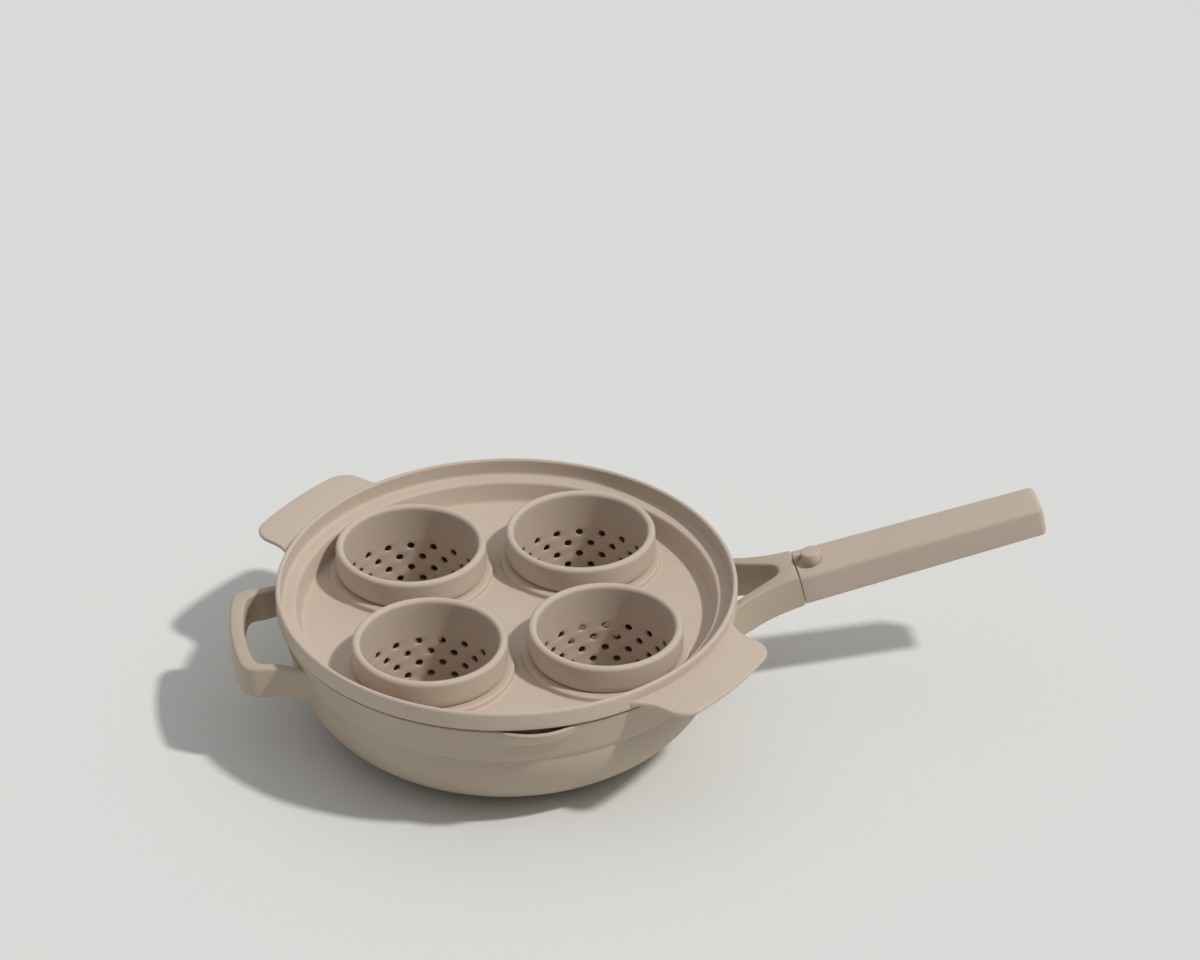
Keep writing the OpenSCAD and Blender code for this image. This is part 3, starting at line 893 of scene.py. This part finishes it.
@dataclass
class Grip:
    """The grip, its well and the rest peg, in millimetres along the handle's own frame."""

    joint: Point
    tilt: float
    length: float = 148.0
    half: float = 14.9
    end_half: float = 13.2
    taper: float = 0.9
    height: float = 20.8
    end_height: float = 19.4
    edge: float = 2.8
    low_edge: float = 2.0
    end_edge: float = 3.5
    seam: float = 0.3
    seam_edge: float = 0.7
    peg_x: float = 10.4
    peg_r: float = 5.65
    peg_h: float = 6.4
    peg_edge: float = 1.1
    well_r: float = 7.7
    well_back: float = 2.0
    well_depth: float = 2.5

    def matrix(self) -> Matrix:
        """The place of the handle's frame in the object's, in metres."""
        turn = Matrix.Rotation(math.radians(-self.tilt), 4, "Y")
        return Matrix.Translation((self.joint[0] * MM, 0, self.joint[1] * MM)) @ turn

    def section(self, along: float, shrink: float) -> list[Point3]:
        """One ring of the grip.

        Args:
            along: Distance from the fork.
            shrink: How much smaller the ring is than the full section.

        Returns:
            The ring's points.
        """
        t = along / self.length
        half = self.half + (self.end_half - self.half) * t - shrink
        foot = half - self.taper
        deep = self.height + (self.end_height - self.height) * t - shrink
        r = max(self.edge - shrink, 1.2)
        low = max(self.low_edge - shrink, 1.0)
        ring = arc(half - r, -shrink - r, r, 0, 90, 7) + arc(-half + r, -shrink - r, r, 90, 180, 7)
        ring += arc(-foot + low, -deep + low, low, 180, 270, 7)
        ring += arc(foot - low, -deep + low, low, 270, 360, 7)
        return [(along, y, z) for y, z in ring]

    def moulding(self, palette: Palette) -> None:
        """Makes the grip and cuts the peg's well into it."""
        solid = Solid("grip_moulding")
        places = [(self.seam, self.seam_edge), (self.seam + 0.15, 0.35), (self.seam + 0.4, 0.1),
                  (self.seam + 0.8, 0.0)]
        places += [(self.length * i / 12, 0.0) for i in range(1, 12)]
        for i in range(7):
            a = math.radians(90 * i / 6)
            inward = self.end_edge * (1 - math.cos(a))
            places.append((self.length - self.end_edge * (1 - math.sin(a)), inward))
        solid.loft([self.section(x, s) for x, s in places])
        grip = solid.build()
        cutter = Solid("well_cutter")
        lip = 0.8
        cutter.revolve([(0, -self.well_depth), (self.well_r - lip, -self.well_depth)]
                       + arc(self.well_r - lip, -self.well_depth + lip, lip, 270, 360, 4)
                       + [(self.well_r, -0.5)] + arc(self.well_r + 0.5, -0.5, 0.5, 180, 90, 4)
                       + [(self.well_r + 0.5, 2), (0, 2)], 72, centre=(self.peg_x - self.well_back, 0))
        tool = cutter.build()
        cut = grip.modifiers.new("well", "BOOLEAN")
        cut.operation = "DIFFERENCE"
        cut.solver = "EXACT"
        cut.object = tool
        applied(grip)
        dropped(tool)
        grip.data.transform(self.matrix())
        smooth(grip.data)
        hand_over(palette.dress(grip, "grip_moulding"), "pan", "grip_plastic", "handle_grip")

    def peg(self, palette: Palette) -> None:
        """Makes the round rest peg that stands in the well."""
        solid = Solid("rest_button")
        profile = [(0, -self.well_depth + 0.02), (self.peg_r, -self.well_depth + 0.02)]
        profile += arc(self.peg_r - self.peg_edge, self.peg_h - self.peg_edge, self.peg_edge, 0, 90, 6)
        profile += [(0, self.peg_h)]
        solid.revolve(profile, 64, centre=(self.peg_x, 0))
        peg = solid.build()
        peg.data.transform(self.matrix())
        hand_over(palette.dress(peg, "grip_moulding"), "pan", "grip_plastic", "rest_peg")

    def build(self, palette: Palette) -> None:
        """Makes both pieces."""
        self.moulding(palette)
        self.peg(palette)


@dataclass
class Tray:
    """The soft tray with its basin, lips and tabs, in millimetres."""

    pan_r: float = 132.5
    pan_z: float = 75.0
    rise: float = 13.0
    rim: float = 3.0
    over: float = 1.5
    gap: float = 1.7
    ledge_rise: float = 2.5
    ledge_w: float = 8.8
    basin_depth: float = 13.0
    basin_draft: float = 2.5
    thick: float = 2.4
    seat_w: float = 0.8
    pan_wall: float = 4.0
    seat_clear: float = 0.3
    tab_out: float = 29.95
    tab_half: float = 43.0
    tab_corner: float = 14.0
    tab_flare: float = 6.0
    tab_crown: float = 2.0
    tab_drop: float = 6.0
    tab_t: float = 3.0
    tab_edge: float = 1.3
    cup_gap: float = 12.2
    lip_out: float = 3.7
    lip_h: float = 3.5
    cup_clear: float = 0.5
    cup_collar: float = 5.0
    cup_wall: float = 2.0
    segments: int = 288

    @property
    def rim_in(self) -> float:
        """Inside radius of the rim."""
        return self.pan_r + self.over - self.rim

    @property
    def ledge_in(self) -> float:
        """Radius where the ledge ends and the basin starts."""
        return self.rim_in - self.ledge_w

    @property
    def ledge_z(self) -> float:
        """Height of the ledge."""
        return self.pan_z + self.ledge_rise

    @property
    def floor_z(self) -> float:
        """Height of the basin's floor."""
        return self.ledge_z - self.basin_depth

    @property
    def floor_r(self) -> float:
        """Radius of the basin's floor."""
        return self.ledge_in - self.basin_draft

    @property
    def cup_r(self) -> float:
        """Outside radius of a cup's collar, so that four cups fill the tray."""
        return (self.floor_r - self.lip_out - self.cup_gap / math.sqrt(2)) / (1 + math.sqrt(2))

    @property
    def cup_off(self) -> float:
        """Distance of a cup's axis from each of the pan's middle planes."""
        return self.cup_r + self.cup_gap / 2

    @property
    def cup_places(self) -> list[Point]:
        """The four cups' axes in plan."""
        return [(x * self.cup_off, y * self.cup_off) for x in (-1, 1) for y in (-1, 1)]

    def rim_ring(self, solid: Solid, flat_r: float) -> None:
        """Adds the rim, the ledge and the basin's wall as one closed ring.

        Args:
            solid: Where the ring is added.
            flat_r: Radius where the ring meets the flat floor.
        """
        top, crest = self.pan_z + self.rise, self.rim / 2
        out_r = self.pan_r + self.over
        seat = self.pan_z + self.seat_clear
        seat_r = self.pan_r - self.pan_wall + self.seat_w
        sweep = 3.0
        under = self.floor_z - self.thick
        profile = [(flat_r, self.floor_z)]
        profile += bezier((self.floor_r - sweep + 0.4, self.floor_z), (self.floor_r - 0.6, self.floor_z),
                          (self.floor_r, self.floor_z + 0.8), (self.floor_r + 0.5, self.floor_z + sweep), 7)
        profile += bezier((self.ledge_in - 0.4, self.ledge_z - 2.6), (self.ledge_in, self.ledge_z - 0.7),
                          (self.ledge_in + 0.5, self.ledge_z), (self.ledge_in + 2.4, self.ledge_z), 7)
        profile += bezier((self.rim_in - 3.2, self.ledge_z + 0.15), (self.rim_in - 1.2, self.ledge_z + 0.2),
                          (self.rim_in - 0.5, self.ledge_z + 0.9),
                          (self.rim_in - 0.35, self.ledge_z + 2.6), 7)
        profile += arc(self.rim_in + crest, top - crest, crest, 180, 0, 12)
        profile += [(out_r, top - 4), (out_r, self.pan_z + self.gap + 3)]
        profile += arc(out_r - 0.6, self.pan_z + self.gap + 0.6, 0.6, 0, -90, 4)
        profile += [(seat_r, self.pan_z + self.gap), (seat_r, seat), (self.ledge_in + self.thick + 1, seat),
                    (self.ledge_in + self.thick, seat - 1),
                    (self.floor_r + self.thick, self.floor_z + 1.2 - self.thick)]
        profile += arc(self.floor_r + self.thick - 1.2, under + 1.2, 1.2, 0, -90, 4)
        profile += [(flat_r, under)]
        solid.revolve(profile, self.segments, looped=True)

    def lips(self, solid: Solid) -> None:
        """Adds the raised lip that each cup stands on."""
        hole = self.cup_r - self.cup_collar + self.cup_wall + self.cup_clear
        lip_r = self.cup_r + self.lip_out
        top, under = self.floor_z + self.lip_h, self.floor_z - self.thick
        profile = [(hole, under + 0.05)] + arc(hole + 0.5, top - 0.5, 0.5, 180, 90, 3)
        profile += bezier((lip_r - 1.6, top), (lip_r - 0.5, top), (lip_r - 0.1, top - 0.4),
                          (lip_r, top - 1.4), 6)
        profile += bezier((lip_r, self.floor_z + 1.1), (lip_r + 0.1, self.floor_z + 0.3),
                          (lip_r + 0.6, self.floor_z), (lip_r + 1.5, self.floor_z - 0.06), 5)
        profile += [(lip_r + 1.5, under + 0.05)]
        for place in self.cup_places:
            solid.revolve(profile, 144, centre=place, looped=True)

    def tab_outline(self) -> tuple[list[Point], int]:
        """The outline of a tab that reaches along the first axis, with S-shaped roots.

        Returns:
            A closed anticlockwise outline, and how many of its last points lie inside the rim.
        """
        tip = self.pan_r + self.tab_out
        corner_x = tip - self.tab_crown - self.tab_corner
        root = self.pan_r
        wide = self.tab_half + self.tab_flare + 1.5
        start = math.degrees(math.asin(wide / root))
        root_end = (root * math.cos(math.radians(start)), wide)
        side = bezier(root_end, (root - 2, self.tab_half + self.tab_flare - 2.5), (root, self.tab_half),
                      (corner_x - 3, self.tab_half), 16)
        side += arc(corner_x, self.tab_half - self.tab_corner, self.tab_corner, 90, 8, 12)
        edge = bezier(side[-1], (tip - 0.4, 18), (tip, 8), (tip, 0), 8)
        outside = side[:-1] + edge
        closing = arc(0, 0, root, -start, start, 24)[1:-1]
        seen = list(reversed(outside + mirrored(outside)[1:]))
        hidden = [seen[-1]] + closing[::-1] + [seen[0]]
        return seen[1:-1] + hidden, len(hidden)

    def tabs(self, solid: Solid) -> None:
        """Adds both lifting tabs on the tray's diagonal."""
        top = self.pan_z + self.rise - self.tab_drop
        outline, held = self.tab_outline()
        for turn in (135, 315):
            c, s = math.cos(math.radians(turn)), math.sin(math.radians(turn))
            turned = [(x * c - y * s, x * s + y * c) for x, y in outline]
            solid.plate(turned, top - self.tab_t, top, self.tab_edge, held)

    def build(self, palette: Palette) -> None:
        """Makes the tray as one piece and puts it on its body."""
        solid = Solid("tray_moulding")
        flat_r = self.floor_r - 3.4
        self.rim_ring(solid, flat_r)
        self.lips(solid)
        self.tabs(solid)
        tray = solid.build()
        floor = Solid("tray_floor")
        holes = [(place, self.cup_r + self.lip_out + 1.1, 144) for place in self.cup_places]
        floor.sheet_with_holes(flat_r, holes, self.segments, self.floor_z - self.thick, self.floor_z)
        joined = bmesh.new()
        joined.from_mesh(tray.data)
        extra = floor.mesh()
        joined.from_mesh(extra)
        joined.to_mesh(tray.data)
        joined.free()
        bpy.data.meshes.remove(extra)
        smooth(tray.data)
        hand_over(palette.dress(tray, "soft_silicone"), "tray", "silicone", "poacher_tray")


def drilled_wall_tree() -> NodeSheet:
    """The tree that repeats one drilled cell in staggered rows and wraps them round a cup.

    The cell's coordinates are angle, radius and height, and the wrap turns them into a wall.

    Returns:
        The sheet of a tree with inputs Shell, Count, Rows, Row Pitch, First Row and Finish.
    """
    sheet, given, result = geometry_tree("drilled_wall", (
        ("Shell", "NodeSocketObject", None), ("Count", "NodeSocketInt", 18), ("Rows", "NodeSocketInt", 4),
        ("Row Pitch", "NodeSocketFloat", 0.0077), ("First Row", "NodeSocketFloat", 0.0576),
        ("Finish", "NodeSocketMaterial", None),
    ))
    pitch = sheet.math("DIVIDE", 2 * math.pi, given.outputs["Count"])
    step = sheet.add("ShaderNodeCombineXYZ")
    sheet.join(pitch, step.inputs["X"])
    row = sheet.add("GeometryNodeMeshLine", mode="OFFSET")
    sheet.join(given.outputs["Count"], row.inputs["Count"])
    sheet.join(step.outputs["Vector"], row.inputs["Offset"])
    cells = sheet.add("GeometryNodeInstanceOnPoints")
    sheet.join(row.outputs["Mesh"], cells.inputs["Points"])
    sheet.join(given.outputs["Geometry"], cells.inputs["Instance"])
    one_row = sheet.add("GeometryNodeRealizeInstances")
    sheet.join(cells.outputs["Instances"], one_row.inputs["Geometry"])
    start = sheet.add("ShaderNodeCombineXYZ")
    sheet.join(given.outputs["First Row"], start.inputs["Z"])
    drop = sheet.add("ShaderNodeCombineXYZ")
    sheet.join(sheet.math("MULTIPLY", given.outputs["Row Pitch"], -1.0), drop.inputs["Z"])
    column = sheet.add("GeometryNodeMeshLine", mode="OFFSET")
    sheet.join(given.outputs["Rows"], column.inputs["Count"])
    sheet.join(start.outputs["Vector"], column.inputs["Start Location"])
    sheet.join(drop.outputs["Vector"], column.inputs["Offset"])
    index = sheet.add("GeometryNodeInputIndex")
    odd = sheet.math("MODULO", index.outputs["Index"], 2.0)
    shift = sheet.add("ShaderNodeCombineXYZ")
    sheet.join(sheet.math("MULTIPLY", sheet.math("MULTIPLY", odd, pitch), 0.5), shift.inputs["X"])
    stagger = sheet.add("GeometryNodeSetPosition")
    sheet.join(column.outputs["Mesh"], stagger.inputs["Geometry"])
    sheet.join(shift.outputs["Vector"], stagger.inputs["Offset"])
    rows = sheet.add("GeometryNodeInstanceOnPoints")
    sheet.join(stagger.outputs["Geometry"], rows.inputs["Points"])
    sheet.join(one_row.outputs["Geometry"], rows.inputs["Instance"])
    flat = sheet.add("GeometryNodeRealizeInstances")
    sheet.join(rows.outputs["Instances"], flat.inputs["Geometry"])
    place = sheet.add("GeometryNodeInputPosition")
    parts = sheet.add("ShaderNodeSeparateXYZ")
    sheet.join(place.outputs["Position"], parts.inputs["Vector"])
    around = sheet.add("ShaderNodeCombineXYZ")
    for axis, wave in (("X", "COSINE"), ("Y", "SINE")):
        reach = sheet.math("MULTIPLY", parts.outputs["Y"], sheet.math(wave, parts.outputs["X"]))
        sheet.join(reach, around.inputs[axis])
    sheet.join(parts.outputs["Z"], around.inputs["Z"])
    wrap = sheet.add("GeometryNodeSetPosition")
    sheet.join(flat.outputs["Geometry"], wrap.inputs["Geometry"])
    sheet.join(around.outputs["Vector"], wrap.inputs["Position"])
    shell = sheet.add("GeometryNodeObjectInfo")
    sheet.join(given.outputs["Shell"], shell.inputs["Object"])
    whole = sheet.add("GeometryNodeJoinGeometry")
    sheet.join(shell.outputs["Geometry"], whole.inputs["Geometry"])
    sheet.join(wrap.outputs["Geometry"], whole.inputs["Geometry"])
    merged = sheet.add("GeometryNodeMergeByDistance")
    merged.inputs["Distance"].default_value = 4e-6
    sheet.join(whole.outputs["Geometry"], merged.inputs["Geometry"])
    real = sheet.add("GeometryNodeRealizeInstances")
    sheet.join(merged.outputs["Geometry"], real.inputs["Geometry"])
    finish = sheet.add("GeometryNodeSetMaterial")
    sheet.join(real.outputs["Geometry"], finish.inputs["Geometry"])
    sheet.join(given.outputs["Finish"], finish.inputs["Material"])
    sheet.join(finish.outputs["Geometry"], result.inputs["Geometry"])
    return sheet


class Seat(Enum):
    """The four seats of the tray: the side of the pan's middle planes, and each cup's turn."""

    REAR_LEFT = (-1, 1, 5.0)
    REAR_RIGHT = (1, 1, 3.0)
    FRONT_LEFT = (-1, -1, 14.0)
    FRONT_RIGHT = (1, -1, 2.0)


@dataclass
class Cups:
    """Four perforated cups, in millimetres, sized from the tray."""

    tray: Tray
    stand: float = 17.6
    drop: float = 44.0
    tuck: float = 1.3
    corner: float = 6.0
    hole_r: float = 2.25
    hole_edge: float = 0.35
    count: int = 18
    rows: int = 4
    row_pitch: float = 7.7
    row_first: float = 28.0
    ring_pitch: float = 12.0
    side_steps: int = 4
    across_steps: int = 8

    @property
    def in_r(self) -> float:
        """Inside radius of a cup."""
        return self.tray.cup_r - self.tray.cup_collar

    @property
    def out_r(self) -> float:
        """Outside radius of a cup's lower wall."""
        return self.in_r + self.tray.cup_wall

    @property
    def segments(self) -> int:
        """Steps round a cup that meet every drilled cell's corners."""
        return self.count * self.across_steps

    @property
    def top(self) -> float:
        """Height of a cup's rim."""
        return self.tray.floor_z + self.tray.lip_h + self.stand

    def cell(self) -> bpy.types.Object:
        """One drilled cell of the wall, in angle, radius and height.

        Returns:
            An object whose mesh is the cell round one hole.
        """
        half_turn = math.pi / self.count
        half_h = self.row_pitch / 2
        border: list[Point] = []
        ups, across = self.side_steps, self.across_steps
        border += [(half_turn, half_h * i / (ups / 2)) for i in range(ups // 2)]
        border += [(half_turn * (1 - 2 * i / across), half_h) for i in range(across)]
        border += [(-half_turn, half_h * (1 - 2 * i / ups)) for i in range(ups)]
        border += [(-half_turn * (1 - 2 * i / across), -half_h) for i in range(across)]
        border += [(half_turn, -half_h * (1 - i / (ups / 2))) for i in range(ups // 2)]
        size = len(border)
        rings: list[list[Point3]] = []

        def hole(r: float, radius: float) -> list[Point3]:
            ring = []
            for i in range(size):
                t = 2 * math.pi * i / size
                ring.append((math.asin(r * math.cos(t) / radius), radius, r * math.sin(t)))
            return ring

        def edge(radius: float) -> list[Point3]:
            return [(turn, radius, z) for turn, z in border]

        wide = self.hole_r + self.hole_edge
        cut = self.hole_edge
        rings.append(edge(self.out_r))
        rings.append(hole(wide, self.out_r))
        rings.append(hole(self.hole_r + cut * 0.3, self.out_r - cut * 0.3))
        rings.append(hole(self.hole_r, self.out_r - cut))
        rings.append(hole(self.hole_r, self.in_r + cut))
        rings.append(hole(self.hole_r + cut * 0.3, self.in_r + cut * 0.3))
        rings.append(hole(wide, self.in_r))
        rings.append(edge(self.in_r))
        verts = [(turn, radius * MM, z * MM) for ring in rings for turn, radius, z in ring]
        faces = []
        for k in range(len(rings) - 1):
            for i in range(size):
                j = (i + 1) % size
                faces.append((k * size + i, (k + 1) * size + i, (k + 1) * size + j, k * size + j))
        data = bpy.data.meshes.new("drilled_cell")
        data.from_pydata(verts, [], faces)
        return placed("drilled_cell", data)

    def shell(self) -> bpy.types.Object:
        """Everything of a cup but its drilled wall: collar, corner and drilled bottom.

        Returns:
            An object centred on the cup's own axis.
        """
        tray = self.tray
        solid = Solid("cup_shell")
        crest = tray.cup_collar / 2
        seat = tray.floor_z + tray.lip_h + tray.seat_clear
        bottom = seat - self.drop
        first = self.top - self.row_first + self.row_pitch / 2
        last = first - self.rows * self.row_pitch
        tall = 5.0
        upper = [(self.out_r, first), (self.out_r, seat - 0.6)]
        upper += arc(self.out_r + 0.4, seat - 0.4, 0.4, 180, 90, 3)
        upper += bezier((tray.cup_r - self.tuck - 0.6, seat), (tray.cup_r - 0.7 * self.tuck, seat + 0.1),
                        (tray.cup_r - 0.1, seat + 0.5 * tall), (tray.cup_r, seat + tall), 9)
        upper += arc(tray.cup_r - crest, self.top - crest, crest, 0, 180, 16)
        upper += [(self.in_r, self.top - 8), (self.in_r, self.top - 16), (self.in_r, first)]
        solid.revolve(upper, self.segments)
        flat_r = self.in_r - self.corner - 0.4
        fillet = self.corner + tray.cup_wall
        lower = [(self.out_r, last)] + arc(self.out_r - fillet, bottom + fillet, fillet, 360, 270, 8)
        lower += [(flat_r, bottom)]
        inner = [(flat_r, bottom + tray.cup_wall)]
        inner += arc(self.in_r - self.corner, bottom + tray.cup_wall + self.corner, self.corner, 270, 360, 8)
        inner += [(self.in_r, last)]
        solid.revolve(lower, self.segments)
        solid.revolve(inner, self.segments)
        holes = [((0.0, 0.0), self.hole_r, 24)]
        for ring in (1, 2):
            for i in range(6 * ring):
                t = math.radians(60 * i / ring)
                centre = (ring * self.ring_pitch * math.cos(t), ring * self.ring_pitch * math.sin(t))
                holes.append((centre, self.hole_r, 24))
        solid.sheet_with_holes(flat_r, holes, self.segments, bottom, bottom + tray.cup_wall, rim_wall=False)
        return solid.build()

    def build(self, palette: Palette) -> None:
        """Makes the four cups, each turned in its own seat."""
        sheet = drilled_wall_tree()
        shell = self.shell()
        for seat in Seat:
            x, y, spin = seat.value
            cup = self.cell()
            cup.name = f"cup_{seat.name.lower()}_moulding"
            run_tree(cup, sheet, {
                "Shell": shell, "Count": self.count, "Rows": self.rows, "Row Pitch": self.row_pitch * MM,
                "First Row": (self.top - self.row_first) * MM, "Finish": palette["soft_silicone"],
            })
            self.close(cup.data)
            place = Matrix.Translation((x * self.tray.cup_off * MM, y * self.tray.cup_off * MM, 0))
            cup.data.transform(place @ Matrix.Rotation(math.radians(spin), 4, "Z"))
            smooth(cup.data)
            palette.dress(cup, "soft_silicone")
            name = seat.name.lower()
            hand_over(cup, f"cup_{name}", "silicone", f"egg_cup_{name}")
        dropped(shell)

    def close(self, data: bpy.types.Mesh) -> None:
        """Merges the seams of a cup and turns its faces outwards."""
        work = bmesh.new()
        work.from_mesh(data)
        bmesh.ops.remove_doubles(work, verts=work.verts, dist=5e-6)
        bmesh.ops.recalc_face_normals(work, faces=work.faces)
        open_edges = [e for e in work.edges if len(e.link_faces) != 2]
        if open_edges:
            LOG.warning("%s has %d open edges", data.name, len(open_edges))
        work.to_mesh(data)
        work.free()


def dress_hidden(palette: Palette) -> None:
    """Gives the small metal pieces that stay as they are their finishes."""
    for node, finish in (("induction_plate", "ground_steel"), ("peg_insert", "turned_brass"),
                         ("handle_screw", "screw_steel"), ("lock_washer", "screw_steel")):
        palette.dress(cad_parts[node], finish)
        LOG.info("%s keeps its solid and gets %s", node, finish)


@dataclass(frozen=True)
class Studio:
    """The floor, the sun, the pale surrounding and the camera."""

    turn: float = -8.384014
    height: float = 32.285343
    roll: float = -0.091833
    distance: float = 2.243995
    right: float = 0.054148
    up: float = 0.057706
    focal_px: float = 3868.306
    image_w: int = 1200
    target_z: float = 0.088
    sensor: float = 36.0
    key_from: Point3 = (0.68, -0.34, 1.0)
    key_spread: float = 4.0
    key_strength: float = 2.0
    horizon: float = 0.19
    zenith: float = 0.62
    behind: float = 0.17

    def camera(self) -> None:
        """Places the camera at the photograph's angle."""
        az, el = math.radians(self.turn), math.radians(self.height)
        back = Vector((math.sin(az) * math.cos(el), -math.cos(az) * math.cos(el), math.sin(el)))
        side = (-back).cross(Vector((0, 0, 1))).normalized()
        over = side.cross(-back)
        c, s = math.cos(math.radians(self.roll)), math.sin(math.radians(self.roll))
        across, upward = c * side + s * over, c * over - s * side
        place = back * self.distance + across * self.right + upward * self.up
        place.z += self.target_z
        data = bpy.data.cameras.new("camera")
        data.sensor_fit = "HORIZONTAL"
        data.sensor_width = self.sensor
        data.lens = self.focal_px / self.image_w * self.sensor
        camera = bpy.data.objects.new("camera", data)
        turn = Matrix((across, upward, back)).transposed().to_4x4()
        camera.matrix_world = Matrix.Translation(place) @ turn
        bpy.context.scene.collection.objects.link(camera)
        bpy.context.scene.camera = camera

    def lamp(self) -> None:
        """Adds one wide far lamp, which lights the whole floor evenly."""
        data = bpy.data.lights.new("key", "SUN")
        data.energy = self.key_strength
        data.angle = math.radians(self.key_spread)
        lamp = bpy.data.objects.new("key", data)
        place = Vector(self.key_from)
        lamp.location = place
        lamp.rotation_euler = place.to_track_quat("Z", "Y").to_euler()
        bpy.context.scene.collection.objects.link(lamp)

    def floor(self) -> None:
        """Adds the pale floor."""
        data = bpy.data.meshes.new("floor")
        reach = 30.0
        corners = [(-reach, -reach, 0), (reach, -reach, 0), (reach, reach, 0), (-reach, reach, 0)]
        data.from_pydata(corners, [], [(0, 1, 2, 3)])
        floor = placed("floor", data)
        material = bpy.data.materials.new("pale_floor")
        material.use_nodes = True
        sheet = NodeSheet(material.node_tree)
        shader = material.node_tree.nodes["Principled BSDF"]
        noise = sheet.add("ShaderNodeTexNoise")
        noise.inputs["Scale"].default_value = 1.5
        blend = sheet.add("ShaderNodeMix", data_type="RGBA")
        blend.inputs[6].default_value = srgb(221, 221, 217)
        blend.inputs[7].default_value = srgb(226, 226, 222)
        place = sheet.add("ShaderNodeTexCoord")
        sheet.join(place.outputs["Object"], noise.inputs["Vector"])
        sheet.join(noise.outputs["Fac"], blend.inputs["Factor"])
        sheet.join(blend.outputs[2], shader.inputs["Base Color"])
        shader.inputs["Roughness"].default_value = 0.7
        data.materials.append(material)

    def sky_light(self) -> None:
        """Sets a pale surrounding that is brightest overhead and behind the pan."""
        world = bpy.data.worlds.new("studio")
        world.use_nodes = True
        sheet = NodeSheet(world.node_tree)
        background = world.node_tree.nodes["Background"]
        background.inputs["Color"].default_value = srgb(246, 247, 250)
        place = sheet.add("ShaderNodeTexCoord")
        parts = sheet.add("ShaderNodeSeparateXYZ")
        rise = sheet.add("ShaderNodeMapRange")
        rise.inputs["To Min"].default_value = self.horizon
        rise.inputs["To Max"].default_value = self.zenith
        sheet.join(place.outputs["Generated"], parts.inputs["Vector"])
        sheet.join(parts.outputs["Z"], rise.inputs["Value"])
        back = sheet.math("MULTIPLY", parts.outputs["Y"], self.behind)
        sheet.join(sheet.math("ADD", rise.outputs["Result"], back), background.inputs["Strength"])
        bpy.context.scene.world = world

    def build(self) -> None:
        """Sets up the whole studio."""
        bpy.context.scene.view_settings.view_transform = "Standard"
        self.camera()
        self.floor()
        self.sky_light()
        self.lamp()


def main() -> None:
    """Builds the studio, then each part of the pan in order."""
    logging.basicConfig(level=logging.INFO, format="%(name)s: %(message)s")
    Studio().build()
    palette = Palette()
    pan = Pan()
    pan.build(palette)
    Base().build(palette)
    Grip(pan.joint, pan.tilt).build(palette)
    tray = Tray()
    tray.build(palette)
    Cups(tray).build(palette)
    dress_hidden(palette)


if __name__ == "__main__":
    main()
